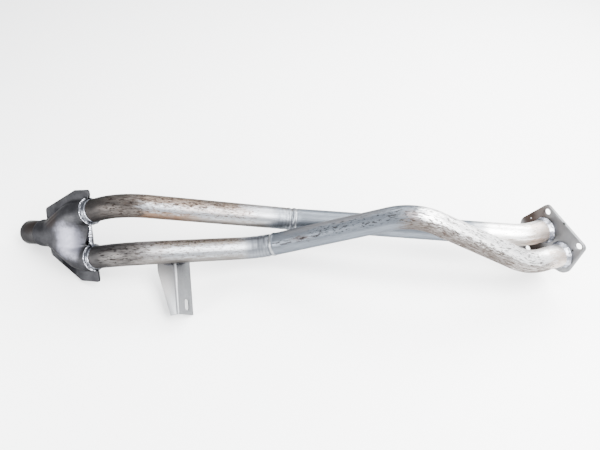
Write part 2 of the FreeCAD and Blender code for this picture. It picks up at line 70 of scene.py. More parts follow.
# 0 at low and 1 at high, level at both ends
def smoothStep(low, high, value):
    t = max(0.0, min(1.0, (value - low) / (high - low)))
    return t * t * (3 - 2 * t)


# 1 in the middle, falling to 0 at halfWidth
def hump(centre, halfWidth, value):
    t = abs(value - centre) / halfWidth
    return 0.0 if t >= 1 else 0.5 + 0.5 * math.cos(math.pi * t)


# skins rings of vertices together, two at a time
def bridgeRings(bm, pairs):
    for pair in pairs:
        edges = [e for ring in pair for v in ring for e in v.link_edges if e.other_vert(v) in ring]
        bmesh.ops.bridge_loops(bm, edges=list(dict.fromkeys(edges)))


# sRGB hex to linear
def rgb(hexColour):
    parts = [int(hexColour[i:i + 2], 16) / 255 for i in (1, 3, 5)]
    linear = [p / 12.92 if p <= 0.04045 else ((p + 0.055) / 1.055) ** 2.4 for p in parts]
    return (*linear, 1.0)


def plugIn(tree, node, inputs):
    for socket, value in inputs.items():
        if isinstance(value, bpy.types.NodeSocket):
            tree.links.new(value, node.inputs[socket])
        else:
            node.inputs[socket].default_value = value


# adds a node with its settings and links, and gives back its outputs
def addNode(tree, kind, inputs, **settings):
    node = tree.nodes.new(kind)
    for name, value in settings.items():
        setattr(node, name, value)
    plugIn(tree, node, inputs)
    return node.outputs


def newMaterial(name):
    material = bpy.data.materials.new(name)
    material.use_nodes = True
    return material


# the tint keeps glancing reflections darker than on polished metal
def shade(material, inputs):
    tree = material.node_tree
    plugIn(tree, tree.nodes["Principled BSDF"], {"Specular Tint": (0.45, 0.45, 0.45, 1.0), **inputs})
    return material


# bare metal, with a fine relief taken from the height
def shadeMetal(material, surface, height, look):
    relief = addNode(material.node_tree, "ShaderNodeBump",
                     {"Height": height, "Strength": look["bumpStrength"], "Distance": look["bumpDepth"]})[0]
    return shade(material, {**surface, "Metallic": 1.0, "Normal": relief})


# noise whose patches have the given sizes in millimetres, cut to the range from low to high
def grain(tree, place, sizes, low, high, detail, roughness):
    scaled = addNode(tree, "ShaderNodeMapping", {"Vector": place, "Scale": [1000 / s for s in sizes]})[0]
    clouds = addNode(tree, "ShaderNodeTexNoise",
                     {"Vector": scaled, "Scale": 1.0, "Detail": detail, "Roughness": roughness})["Fac"]
    return addNode(tree, "ShaderNodeMapRange", {"Value": clouds, "From Min": low, "From Max": high},
                   interpolation_type="SMOOTHSTEP")[0]


# 1 between start and end, with soft edges
def band(tree, value, start, end, soft):
    rise, fall = [addNode(tree, "ShaderNodeMapRange",
                          {"Value": value, "From Min": at - soft, "From Max": at + soft},
                          interpolation_type="SMOOTHSTEP")[0] for at in (start, end)]
    return addNode(tree, "ShaderNodeMath", {0: rise, 1: fall}, operation="SUBTRACT")[0]


# a texture kept to where a band along the tube meets a band across it
def patch(tree, lengthwise, crosswise, texture):
    crossing = addNode(tree, "ShaderNodeMath", {0: band(tree, *lengthwise), 1: band(tree, *crosswise)},
                       operation="MULTIPLY")[0]
    return addNode(tree, "ShaderNodeMath", {0: crossing, 1: texture}, operation="MULTIPLY")[0]


# turns from 0 at low to 1 at high, on a line that the ragged texture pushes to and fro by wander
def raggedEdge(tree, value, ragged, wander, low, high):
    pushed = addNode(tree, "ShaderNodeMath", {0: ragged, 1: wander, 2: value}, operation="MULTIPLY_ADD")[0]
    return addNode(tree, "ShaderNodeMapRange", {"Value": pushed, "From Min": low, "From Max": high},
                   interpolation_type="SMOOTHSTEP")[0]


# lays a colour over the surface where the mask is, and may roughen it there
def layOver(tree, surface, mask, strength, colour, rougher=0.0, blend="MIX"):
    amount = addNode(tree, "ShaderNodeMath", {0: mask, 1: strength}, operation="MULTIPLY")[0]
    over = rgb(colour) if isinstance(colour, str) else colour
    surface["Base Color"] = addNode(tree, "ShaderNodeMix", {0: amount, 6: surface["Base Color"], 7: over},
                                    data_type="RGBA", blend_type=blend)[2]
    if rougher:
        surface["Roughness"] = addNode(tree, "ShaderNodeMath", {0: mask, 1: rougher, 2: surface["Roughness"]},
                                       operation="MULTIPLY_ADD")[0]


# soft spots of other colours, some of them painted highlight, shade or shadow; each has its middle, its reach
# each way, a colour and a strength
def addSpotsAndPaintedLight(tree, surface, place, texture, look):
    ragged = addNode(tree, "ShaderNodeMath", {0: texture, 1: 0.5}, operation="SUBTRACT")[0]
    for middle, reach, colour, strength in look["spotsAndPaintedLight"]:
        offset = addNode(tree, "ShaderNodeVectorMath", {0: place, 1: middle}, operation="SUBTRACT")[0]
        scaled = addNode(tree, "ShaderNodeVectorMath", {0: offset, 1: reach}, operation="DIVIDE")[0]
        distance = addNode(tree, "ShaderNodeVectorMath", {0: scaled}, operation="LENGTH")["Value"]
        near = raggedEdge(tree, distance, ragged, look["spotWander"], 1.0, look["spotCore"])
        layOver(tree, surface, near, strength, colour)


# the photograph's own view: tilt and roll in degrees, lens and sensor in millimetres
cameraSetup = {"place": (0.0082, -0.6079, 0.8394), "tilt": 41.41, "roll": -1.1, "lens": 32, "sensor": 36,
               "nearest": 0.02}

viewCamera = bpy.data.cameras.new("photoCamera")
viewCamera.lens = cameraSetup["lens"]
viewCamera.sensor_width = cameraSetup["sensor"]
viewCamera.sensor_fit = "HORIZONTAL"
viewCamera.clip_start = cameraSetup["nearest"]
viewer = bpy.data.objects.new("photoCamera", viewCamera)
viewer.location = cameraSetup["place"]
viewer.rotation_euler = (math.radians(cameraSetup["tilt"]), math.radians(cameraSetup["roll"]), 0)
bpy.context.scene.collection.objects.link(viewer)
bpy.context.scene.camera = viewer
print("camera set")


# what both legs share
# A pattern is its patch size in millimetres, along and across, then its low and high cut, detail
# and roughness. The real draw lines are about 0.1 mm wide; they are drawn 1.1 mm wide to show.
legTube = {
    "radius": 0.021, "wall": 0.0015, "bendRadius": 0.100, "segments": 64,
    "step": 0.004, "fineStep": 0.0009, "leastStep": 1e-6, "innerEvery": 4,
    "drawLines": ((71.43, 1.111, 1.111), 0.3, 0.7, 3.0, 0.6),
    "clouds": ((50, 16.667, 16.667), 0.3, 0.72, 6.0, 0.65),
    "scuffs": ((22.222, 3.846, 3.846), 0.34, 0.70, 8.0, 0.75),
    "breakUp": ((12.8205, 3.205, 3.205), 0.0, 1.0, 9.0, 0.78),
    "pits": ((4, 2, 2), 0.3, 0.7, 3.0, 0.6),
    "soot": ((26.316, 6.667, 6.667), 0.36, 0.62, 9.0, 0.75),
    "rust": ((10.695, 3.460, 3.460), 0.54, 0.70, 7.0, 0.7),
    "silver": "#95989c", "silverDark": "#84878b", "silverCloud": "#77797c", "cloudStrength": 0.45,
    "roughness": 0.34, "scuffStrength": 0.30, "scuffRougher": 0.10,
    # the near-white colour by the flange is partly a painted highlight
    "cleanAndLitColour": "#f0efee", "cleanAndLitWander": 0.05,
    "dullEdge": 0.0015, "dullWiden": 0.15, "dullBefore": 0.1, "dullRougher": 0.05,
    "ringColour": "#474a4f", "ringSoft": 0.0007,
    "stainWander": (0.090, 0.030), "stainSoft": (0.010, 0.0022), "stainThin": -0.45, "stainExtra": 0.2,
    "stainRougher": 0.10,
    "burntWander": 0.075, "burntStart": -0.006, "burntFull": 0.008, "burntDeepAfter": 0.08,
    "rustStrength": 0.6, "burntDeepStrength": 0.85, "burntRougher": 0.14,
    "fleckWidth": 0.28846, "fleckEdge": 0.03, "fleckDetail": 5.0, "fleckBreak": 0.6,
    "fleckSoft": (0.012, 0.004), "fleckStrength": 0.85, "fleckRougher": 0.2,
    "lineHeight": 0.5, "bumpStrength": 0.16, "bumpDepth": 0.0005,
}
# In each leg's tables, places run along the leg from the flange.
# dull: start, wander of the start, end, softness of the end, tint; the first stretch's tint is partly painted
# shade
# rings: middle, half width, strength
# stains: start, end, from and to across the tube in radii, colour, strength
# flecks: start, end, from and to across the tube in radii, threshold, length in millimetres, colour
# ridges: middle, half width, height, lean
frontLeg = {
    **legTube, "node": "front_leg",
    "corners": [(0.50967, 0.00469, 0.07341), (0.43563, -0.02373, 0.07895), (0.217, 0.0075, 0.1757),
                (-0.053, 0.0335, 0.0462), (-0.28471, -0.0255, 0.09598), (-0.3675, 0.00027, 0.05032)],
    "fineZone": (0.572, 0.645),
    "ridges": [(0.5825, 0.0042, 0.0009, 0.12), (0.5895, 0.0040, -0.0010, 0.12), (0.5960, 0.0030, 0.0003, 0),
               (0.6010, 0.0030, -0.0002, 0), (0.6075, 0.0030, 0.0002, 0), (0.6145, 0.0032, -0.0002, 0),
               (0.6215, 0.0035, 0.00015, 0), (0.6290, 0.0035, -0.0001, 0)],
    "cleanAndLit": (0.288, 0.320), "scuff": "#676462",
    "dull": [(0.312, 0.060, 0.582, 0.0015, "#b2b8bf"), (0.589, 0, 0.640, 0.009, "#cdd0d5")],
    "rings": [(0.5895, 0.0022, 0.75), (0.5975, 0.0009, 0.50), (0.6045, 0.0008, 0.45), (0.6110, 0.0009, 0.42),
              (0.6180, 0.0008, 0.34), (0.6250, 0.0008, 0.26), (0.6320, 0.0008, 0.18)],
    "stains": [
        (0.650, 0.800, 0.50, 1.2, "#6e655c", 0.80),
        (0.680, 0.835, 0.86, 1.2, "#524b45", 0.75),
        (0.785, 0.840, -0.9, 1.1, "#6f6763", 0.45),
        (0.640, 0.830, -1.2, -0.50, "#5f5a55", 0.78),
        (0.040, 0.335, -1.2, -0.22, "#65605c", 0.88),
        (0.120, 0.335, -1.2, -0.50, "#48423f", 0.72),
        (0.313, 0.327, -0.3, 0.55, "#5a4e49", 0.80),
        (0.508, 0.530, -0.25, 0.20, "#3f3734", 0.75),
        (0.360, 0.560, 0.55, 1.2, "#5c5653", 0.40),
        (0.010, 0.040, -0.9, 0.7, "#9d8676", 0.65),
    ],
    "flecks": [
        (0.335, 0.500, -0.35, 0.65, 0.550, 8.3333, "#201e1d"),
        (0.475, 0.585, -0.30, 0.20, 0.530, 11.1111, "#262120"),
        (0.060, 0.345, -0.4, 1.0, 0.535, 8.3333, "#343230"),
        (0.030, 0.340, -1.1, -0.2, 0.545, 8.3333, "#453b36"),
        (0.640, 0.830, -0.5, 1.0, 0.560, 6.6667, "#423a34"),
        (0.720, 0.830, 0.4, 1.1, 0.545, 9.5238, "#352f2a"),
        (0.823, 0.900, -0.8, 0.8, 0.555, 9.5238, "#1a1716"),
    ],
    "burntFrom": 0.823, "burntDark": "#3b3938", "burntLight": "#6f6b69", "burntRust": "#5c4c43",
    "burntDeep": "#2a2a2b",
}
rearLeg = {
    **legTube, "node": "rear_leg",
    "corners": [(0.49094, 0.05543, 0.0834), (0.44111, 0.03631, 0.08714), (0.0095, 0.082, 0.0742),
                (-0.29239, 0.03223, 0.16293), (-0.37415, 0.05446, 0.1137)],
    "fineZone": (0.466, 0.560),
    "ridges": [(0.4805, 0.0030, -0.0006, 0), (0.4860, 0.0038, 0.0008, 0), (0.4915, 0.0035, -0.0009, 0),
               (0.4965, 0.0030, 0.0004, 0), (0.5025, 0.0030, -0.00025, 0), (0.5095, 0.0035, 0.0002, 0),
               (0.5165, 0.0035, -0.0002, 0), (0.5240, 0.0035, 0.00015, 0), (0.5330, 0.0040, -0.0001, 0)],
    "cleanAndLit": (0.110, 0.140), "scuff": "#6b6764",
    "dull": [(0.150, 0.030, 0.481, 0.0015, "#bcc2c9"), (0.483, 0, 0.530, 0.010, "#d5d8dc")],
    "rings": [(0.4835, 0.0010, 0.5), (0.4915, 0.0018, 0.65), (0.4990, 0.0009, 0.45), (0.5060, 0.0008, 0.40),
              (0.5130, 0.0008, 0.32), (0.5200, 0.0007, 0.26), (0.5290, 0.0007, 0.18)],
    "stains": [
        (0.590, 0.790, 0.36, 1.2, "#544b44", 0.90),
        (0.670, 0.790, 0.22, 1.2, "#665a51", 0.65),
        (0.672, 0.800, -1.2, -0.42, "#6d5645", 0.85),
        (0.540, 0.690, -1.2, -0.62, "#7c7168", 0.60),
        (0.570, 0.700, -0.20, 0.50, "#857870", 0.45),
        (0.480, 0.610, 0.82, 1.2, "#5b554f", 0.65),
        (0.015, 0.085, -1.2, -0.40, "#72655b", 0.70),
        (0.006, 0.048, -1.2, 0.9, "#9d8a7b", 0.68),
    ],
    "flecks": [
        (0.560, 0.770, -0.6, 0.9, 0.545, 6.6667, "#42352c"),
        (0.600, 0.790, 0.1, 1.1, 0.530, 9.5238, "#352d28"),
        (0.030, 0.120, -0.5, 0.9, 0.590, 6.6667, "#4a4542"),
        (0.764, 0.830, -0.8, 0.8, 0.560, 8.3333, "#1e1815"),
    ],
    "burntFrom": 0.764, "burntDark": "#33302e", "burntLight": "#5c5652", "burntRust": "#4c3d35",
    "burntDeep": "#262525",
}
imageUp = Vector((-0.0127, 0.75, 0.6613))      # upper side of the tubes in the photograph


# Aluminised steel tube: a thin aluminium coat rolled on the strip before the tube was drawn.
# It gives a satin silver with fine lines along the tube, worn through in dark flecks and brown stains.
def aluminisedTube(name, leg):
    material = newMaterial(name)
    tree = material.node_tree
    place = addNode(tree, "ShaderNodeAttribute", {}, attribute_name="tubePlace")["Vector"]
    along, upward = addNode(tree, "ShaderNodeSeparateXYZ", {0: place})[:2]
    drawLines, clouds, scuffs, breakUp, pits, soot, rust = [
        grain(tree, place, *leg[pattern])
        for pattern in ("drawLines", "clouds", "scuffs", "breakUp", "pits", "soot", "rust")]
    ragged = addNode(tree, "ShaderNodeMath", {0: breakUp, 1: 0.5}, operation="SUBTRACT")[0]

    surface = {"Base Color": rgb(leg["silverDark"]), "Roughness": leg["roughness"]}
    layOver(tree, surface, drawLines, 1.0, leg["silver"])
    layOver(tree, surface, clouds, leg["cloudStrength"], leg["silverCloud"])
    # the end by the flange, painted near white: a cleaner coat with a painted highlight on it
    cleanAndLitFrom, cleanAndLitTo = leg["cleanAndLit"]
    cleanAndLit = raggedEdge(tree, along, ragged, leg["cleanAndLitWander"], cleanAndLitTo, cleanAndLitFrom)
    layOver(tree, surface, cleanAndLit, 1.0, leg["cleanAndLitColour"])
    layOver(tree, surface, scuffs, leg["scuffStrength"], leg["scuff"], leg["scuffRougher"])

    # dull stretches, with a ragged start: a duller bluish coat, and on the long stretch past the crest also
    # painted shade where the tube turns from the key lamp
    for start, wander, end, soft, tint in leg["dull"]:
        reach = wander * leg["dullWiden"] + leg["dullEdge"]
        begun = raggedEdge(tree, along, ragged, wander, start - reach, start + reach)
        dull = addNode(tree, "ShaderNodeMath",
                       {0: begun, 1: band(tree, along, start - leg["dullBefore"], end, soft)},
                       operation="MULTIPLY")[0]
        layOver(tree, surface, dull, 1.0, tint, leg["dullRougher"], "MULTIPLY")
    # thin dark rings in the wrinkles of the bends
    for at, halfWidth, strength in leg["rings"]:
        ring = band(tree, along, at - halfWidth, at + halfWidth, leg["ringSoft"])
        layOver(tree, surface, ring, strength, leg["ringColour"])

    # brown stains, thinner where the coat is scuffed
    drift, shifted = [addNode(tree, "ShaderNodeMath", {0: ragged, 1: wander, 2: way},
                              operation="MULTIPLY_ADD")[0]
                      for wander, way in zip(leg["stainWander"], (along, upward))]
    softAlong, softAcross = leg["stainSoft"]
    for start, end, fromSide, toSide, colour, strength in leg["stains"]:
        thinned = addNode(tree, "ShaderNodeMath",
                          {0: scuffs, 1: leg["stainThin"], 2: strength + leg["stainExtra"]},
                          operation="MULTIPLY_ADD")[0]
        stain = patch(tree, (drift, start, end, softAlong),
                      (shifted, fromSide * leg["radius"], toSide * leg["radius"], softAcross), thinned)
        layOver(tree, surface, stain, 1.0, colour, leg["stainRougher"])

    # the end by the collector, darkened by heat where the coat burnt off
    burnt = raggedEdge(tree, along, ragged, leg["burntWander"],
                       leg["burntFrom"] + leg["burntStart"], leg["burntFrom"] + leg["burntFull"])
    deep = addNode(tree, "ShaderNodeMapRange",
                   {"Value": along, "From Min": leg["burntFrom"],
                    "From Max": leg["burntFrom"] + leg["burntDeepAfter"]})[0]
    char = {"Base Color": rgb(leg["burntDark"])}
    layOver(tree, char, soot, 1.0, leg["burntLight"])
    layOver(tree, char, rust, leg["rustStrength"], leg["burntRust"])
    layOver(tree, char, deep, leg["burntDeepStrength"], leg["burntDeep"])
    layOver(tree, surface, burnt, 1.0, char["Base Color"], leg["burntRougher"])

    # dark dashes along the tube
    softAlong, softAcross = leg["fleckSoft"]
    for start, end, fromSide, toSide, threshold, length, colour in leg["flecks"]:
        width = length * leg["fleckWidth"]
        spots = grain(tree, place, (length, width, width), threshold, threshold + leg["fleckEdge"],
                      leg["fleckDetail"], leg["fleckBreak"])
        fleck = patch(tree, (along, start, end, softAlong),
                      (upward, fromSide * leg["radius"], toSide * leg["radius"], softAcross), spots)
        layOver(tree, surface, fleck, leg["fleckStrength"], colour, leg["fleckRougher"])

    lines = addNode(tree, "ShaderNodeMath", {0: drawLines, 1: leg["lineHeight"], 2: pits},
                    operation="MULTIPLY_ADD")[0]
    height = addNode(tree, "ShaderNodeMath", {0: lines, 1: scuffs}, operation="ADD")[0]
    return shadeMetal(material, surface, height, leg)


# the moves that carry a ring along straight runs and round the bends, each with its place along the leg
def bendMoves(leg, corners):
    fineFrom, fineTo = leg["fineZone"]
    moves = []
    station = 0.0
    here = corners[0]

    def nextStep():
        return leg["fineStep"] if fineFrom <= station <= fineTo else leg["step"]

    for index in range(1, len(corners)):
        ahead = (corners[index] - corners[index - 1]).normalized()
        turn = 0.0
        setback = 0.0
        if index < len(corners) - 1:
            onward = (corners[index + 1] - corners[index]).normalized()
            turn = ahead.angle(onward)
            setback = leg["bendRadius"] * math.tan(turn / 2)
        runEnd = corners[index] - ahead * setback
        left = (runEnd - here).length
        while left > leg["leastStep"]:
            step = min(nextStep(), left)
            station += step
            left -= step
            moves.append((Matrix.Translation(ahead * step), station))
        if turn:
            axis = ahead.cross(onward).normalized()
            centre = runEnd + axis.cross(ahead) * leg["bendRadius"]
            left = turn
            while left > leg["leastStep"]:
                angle = min(nextStep() / leg["bendRadius"], left)
                station += angle * leg["bendRadius"]
                left -= angle
                swing = Matrix.Rotation(angle, 4, axis)
                moves.append((Matrix.Translation(centre) @ swing @ Matrix.Translation(-centre), station))
            here = corners[index] + onward * setback
    return moves


def bentTube(name, leg, material):
    corners = [Vector(c) for c in leg["corners"]]
    bm = bmesh.new()
    tubePlace = bm.verts.layers.float_vector.new("tubePlace")
    start = frameAt(corners[0], corners[1] - corners[0], imageUp)
    firstRing = bmesh.ops.create_circle(bm, segments=leg["segments"], radius=leg["radius"],
                                        matrix=start)["verts"]
    centre = corners[0].copy()
    ahead = (corners[1] - corners[0]).normalized()
    rings = [(firstRing, centre.copy(), ahead.copy(), 0.0)]
    edges = list(bm.edges)

    def carry(edges, matrix):
        grown = bmesh.ops.extrude_edge_only(bm, edges=edges)["geom"]
        verts = [g for g in grown if isinstance(g, bmesh.types.BMVert)]
        edges = [g for g in grown if isinstance(g, bmesh.types.BMEdge) and g.is_boundary]
        bmesh.ops.transform(bm, matrix=matrix, verts=verts)
        return verts, edges

    moves = bendMoves(leg, corners)
    for matrix, station in moves:
        verts, edges = carry(edges, matrix)
        centre = matrix @ centre
        ahead = (matrix.to_3x3() @ ahead).normalized()
        rings.append((verts, centre.copy(), ahead.copy(), station))
    # inner wall: step in, then back to the start in coarser moves
    thin = (leg["radius"] - leg["wall"]) / leg["radius"]
    shrink = Matrix.Translation(centre) @ Matrix.Scale(thin, 4) @ Matrix.Translation(-centre)
    verts, edges = carry(edges, shrink)
    innerRings = [(verts, centre.copy(), ahead.copy(), moves[-1][1])]
    back = Matrix.Identity(4)
    gathered = 0
    for index in range(len(moves) - 1, -1, -1):
        back = moves[index][0].inverted() @ back
        gathered += 1
        if gathered == leg["innerEvery"] or index == 0:
            verts, edges = carry(edges, back)
            centre = back @ centre
            ahead = (back.to_3x3() @ ahead).normalized()
            innerRings.append((verts, centre.copy(), ahead.copy(), moves[index][1]))
            back = Matrix.Identity(4)
            gathered = 0
    firstEdges = dict.fromkeys(e for v in firstRing for e in v.link_edges if e.is_boundary)
    bmesh.ops.bridge_loops(bm, edges=list(firstEdges) + edges)

    # tubePlace: along the leg, towards the photograph's upper side, and sideways
    for verts, centre, ahead, station in rings + innerRings:
        up = (imageUp - ahead * ahead.dot(imageUp)).normalized()
        side = ahead.cross(up)
        for v in verts:
            out = v.co - centre
            v[tubePlace] = (station, out.dot(up), out.dot(side))
    for verts, centre, ahead, station in rings:
        for at, halfWidth, height, lean in leg["ridges"]:
            for v in verts:
                rise = height * hump(at, halfWidth, station + lean * v[tubePlace].y)
                if rise:
                    v.co += (v.co - centre).normalized() * rise
    bmesh.ops.recalc_face_normals(bm, faces=bm.faces)
    linkMesh(bm, name, [material], [leg["node"]])


bentTube("frontLegTube", frontLeg, aluminisedTube("aluminisedTubeFront", frontLeg))
bentTube("rearLegTube", rearLeg, aluminisedTube("aluminisedTubeRear", rearLeg))
print("legs made")


# what the collector and its outlet tube share; patterns as on the legs
heatedSteel = {
    "clouds": ((22.222, 22.222, 22.222), 0.3, 0.7, 8.0, 0.7),
    "grit": ((3.84615, 3.84615, 3.84615), 0.3, 0.7, 4.0, 0.6),
    "specks": ((2.38095, 2.38095, 2.38095), 0.68, 0.72, 2.0, 0.5),
    "gritStrength": 0.3, "gritRougher": 0.08, "speckStrength": 0.6,
    "spotWander": 0.35, "spotCore": 0.35, "bumpStrength": 0.1, "bumpDepth": 0.0004,
}
# Places are station from the mouths towards the outlet, distance off the outlet axis, height.
collector = {
    **heatedSteel,
    "origin": (-0.349, 0.021, 0.0946),
    "axes": ((-0.85959, 0.3386, -0.38268), (0.08145, -0.64855, -0.7568), (-0.50445, -0.68171, 0.52992)),
    "sheet": 0.002, "legPitch": 0.0425,
    "frontSkew": 6.5, "rearSkew": 9.5, "frontLip": 0.011, "rearLip": 0.007,
    "wingStart": 0.004, "wingEnd": 0.132, "wingCorner": 0.005, "wingRoot": (0.072, 0.062),
    "webStart": 0.017, "webSlant": 0.2, "webSlantReach": 0.022, "webSide": (0.028, 0.018),
    "farWebBack": 0.004, "farWebSide": (0.026, 0.020),
    # branches: station, distance off the outlet axis, radius
    "branches": [
        [(0.0, 0.0425, 0.02315), (0.031, 0.0457, 0.02315), (0.055, 0.0410, 0.0240),
         (0.087, 0.0220, 0.0247), (0.123, 0.0, 0.02555), (0.145, 0.0, 0.02555)],
        [(0.0, -0.0425, 0.02315), (0.027, -0.0382, 0.02315), (0.055, -0.0355, 0.0240),
         (0.087, -0.0200, 0.0247), (0.125, 0.0, 0.02555), (0.145, 0.0, 0.02555)],
    ],
    "branchBlend": 0.012,
    # web between them: station, half height
    "web": [(0.010, 0.0), (0.0175, 0.0012), (0.0215, 0.0085), (0.026, 0.0135), (0.034, 0.0190),
            (0.046, 0.0240), (0.060, 0.0272), (0.076, 0.0280), (0.090, 0.0262), (0.104, 0.0200),
            (0.118, 0.0090), (0.130, 0.0), (0.145, 0.0)],
    "webSpare": 0.008, "webBlend": 0.020,
    # edge of the seam flange: station and reach on the front leg's side, then the rear leg's
    "frontWing": [(0.0, 0.090), (0.052, 0.090), (0.132, 0.043)],
    "rearWing": [(0.0, 0.081), (0.041, 0.081), (0.132, 0.048)],
    "neckEnd": 0.141, "neckSteps": 3, "neckRise": 0.0004, "sameStation": 1e-5,
    "firstRow": 0.009, "mouthFade": 0.30, "rows": 110, "columns": 190, "samples": 900, "smoothings": 34,
    "attribute": "rowPlace",
    "dark": "#262628", "light": "#38383a", "fine": "#2c2c2e", "roughness": 0.47, "speck": "#101010",
    "spotsAndPaintedLight": [
        ((0.086, -0.030, 0.020), (0.030, 0.020, 0.02), "#362f2b", 0.60),
        # painted highlight on the crown
        ((0.045, 0.009, 0.026), (0.038, 0.042, 0.03), "#6c6c76", 0.95),
        # this spot and the next: painted shade in the crease between the rear branch and its wing
        ((0.122, -0.026, 0.006), (0.020, 0.010, 0.012), "#19191b", 0.60),
        ((0.096, -0.042, 0.006), (0.022, 0.010, 0.012), "#19191b", 0.60),
        # painted shade over the outer part of the front wing
        ((0.090, 0.068, 0.002), (0.040, 0.026, 0.01), "#0e0e10", 0.90),
        # painted shade on the rear socket's outer flank
        ((0.022, -0.052, 0.020), (0.020, 0.020, 0.02), "#222224", 0.40),
    ],
}
toRow = Matrix.Translation(Vector(collector["origin"])) @ Matrix(collector["axes"]).transposed().to_4x4()


# Pressed mild steel sheet, blued and browned by heat: satin dark grey. Its spots may also paint a highlight,
# shade or shadow on it.
def heatedSheet(name, look):
    material = newMaterial(name)
    tree = material.node_tree
    if look["attribute"]:
        place = addNode(tree, "ShaderNodeAttribute", {}, attribute_name=look["attribute"])["Vector"]
    else:
        place = addNode(tree, "ShaderNodeTexCoord", {})["Object"]
    clouds, grit, specks = [grain(tree, place, *look[pattern]) for pattern in ("clouds", "grit", "specks")]
    surface = {"Base Color": rgb(look["dark"]), "Roughness": look["roughness"]}
    layOver(tree, surface, clouds, 1.0, look["light"])
    layOver(tree, surface, grit, look["gritStrength"], look["fine"], look["gritRougher"])
    addSpotsAndPaintedLight(tree, surface, place, clouds, look)
    layOver(tree, surface, specks, look["speckStrength"], look["speck"])
    return shadeMetal(material, surface, grit, look)


# straight lines through a table of stations and values
def lookUp(table, at):
    for low, high in zip(table, table[1:]):
        if at <= high[0]:
            return low[1] + (high[1] - low[1]) * max(0.0, (at - low[0]) / (high[0] - low[0]))
    return table[-1][1]


# a smooth curve through one column of a table
def easedLookUp(table, at, column):
    last = len(table) - 1
    index = 0
    while index < last - 1 and at > table[index + 1][0]:
        index += 1
    low, high = table[index], table[index + 1]
    before, after = table[max(0, index - 1)], table[min(last, index + 2)]
    span = high[0] - low[0]
    t = max(0.0, min(1.0, (at - low[0]) / span))
    slopeLow = (high[column] - before[column]) / (high[0] - before[0]) * span
    slopeHigh = (after[column] - low[column]) / (after[0] - low[0]) * span
    t2, t3 = t * t, t * t * t
    return (low[column] * (2 * t3 - 3 * t2 + 1) + slopeLow * (t3 - 2 * t2 + t)
            + high[column] * (-2 * t3 + 3 * t2) + slopeHigh * (t3 - t2))


# the higher of two heights, with a fillet of size blend between them
def softMax(a, b, blend):
    blend = min(blend, 1.5 * min(a, b))
    if blend <= 0:
        return max(a, b)
    h = max(blend - abs(a - b), 0.0) / blend
    return max(a, b) + h * h * blend * 0.25


# height of the pressed form over the seam plane
def pressedHeight(x, y):
    height = 0.0
    centres = []
    for branch in collector["branches"]:
        centre = easedLookUp(branch, x, 1)
        radius = easedLookUp(branch, x, 2)
        centres.append(centre)
        if abs(y - centre) < radius:
            height = softMax(height, math.sqrt(radius * radius - (y - centre) ** 2), collector["branchBlend"])
    middle = (centres[0] + centres[1]) / 2
    halfWidth = (centres[0] - centres[1]) / 2 + collector["webSpare"]
    if abs(y - middle) < halfWidth:
        crown = easedLookUp(collector["web"], x, 1) * (1 - ((y - middle) / halfWidth) ** 2) ** 0.25
        height = softMax(height, crown, collector["webBlend"])
    return height


# edge of the seam flange, with its corners rounded
def wingReach(table, x):
    corner = collector["wingCorner"]
    inward = max(0.0, collector["wingStart"] + corner - x, x - collector["wingEnd"] + corner)
    inward = min(inward, corner)
    return lookUp(table, x) - corner + math.sqrt(corner * corner - inward * inward)


# where the sheet starts: forward on the wings, back over the sockets, further back at the web
def mouthEdge(y):
    lip = collector["frontLip"] if y >= 0 else collector["rearLip"]
    slant = collector["webSlant"] * max(-collector["webSlantReach"], min(collector["webSlantReach"], y))
    edge = collector["wingStart"]
    edge += (lip - collector["wingStart"]) * smoothStep(*collector["wingRoot"], abs(y))
    return edge + (collector["webStart"] + slant - lip) * smoothStep(*collector["webSide"], abs(y))


# points across the sheet at one row, evenly spaced over its form
def sheetRow(share, farBack):
    first, columns, samples = collector["firstRow"], collector["columns"], collector["samples"]
    nominal = first + (collector["wingEnd"] - first) * share
    fade = 1 - smoothStep(0.0, collector["mouthFade"], share)
    wingAt = nominal + (collector["wingStart"] - first) * fade
    frontReach = wingReach(collector["frontWing"], wingAt)
    rearReach = wingReach(collector["rearWing"], wingAt)
    section = []
    lengths = [0.0]
    for n in range(samples + 1):
        y = -rearReach + (frontReach + rearReach) * n / samples
        webBack = farBack * smoothStep(*collector["farWebSide"], abs(y))
        x = nominal + (mouthEdge(y) + webBack - first) * fade
        section.append((x, y, pressedHeight(x, y)))
        if n:
            lengths.append(lengths[-1] + math.dist(section[-1], section[-2]))
    points = []
    at = 0
    for column in range(columns + 1):
        target = lengths[-1] * column / columns
        while at < samples - 1 and lengths[at + 1] < target:
            at += 1
        t = (target - lengths[at]) / (lengths[at + 1] - lengths[at])
        points.append(Vector(section[at]).lerp(Vector(section[at + 1]), t))
    return points


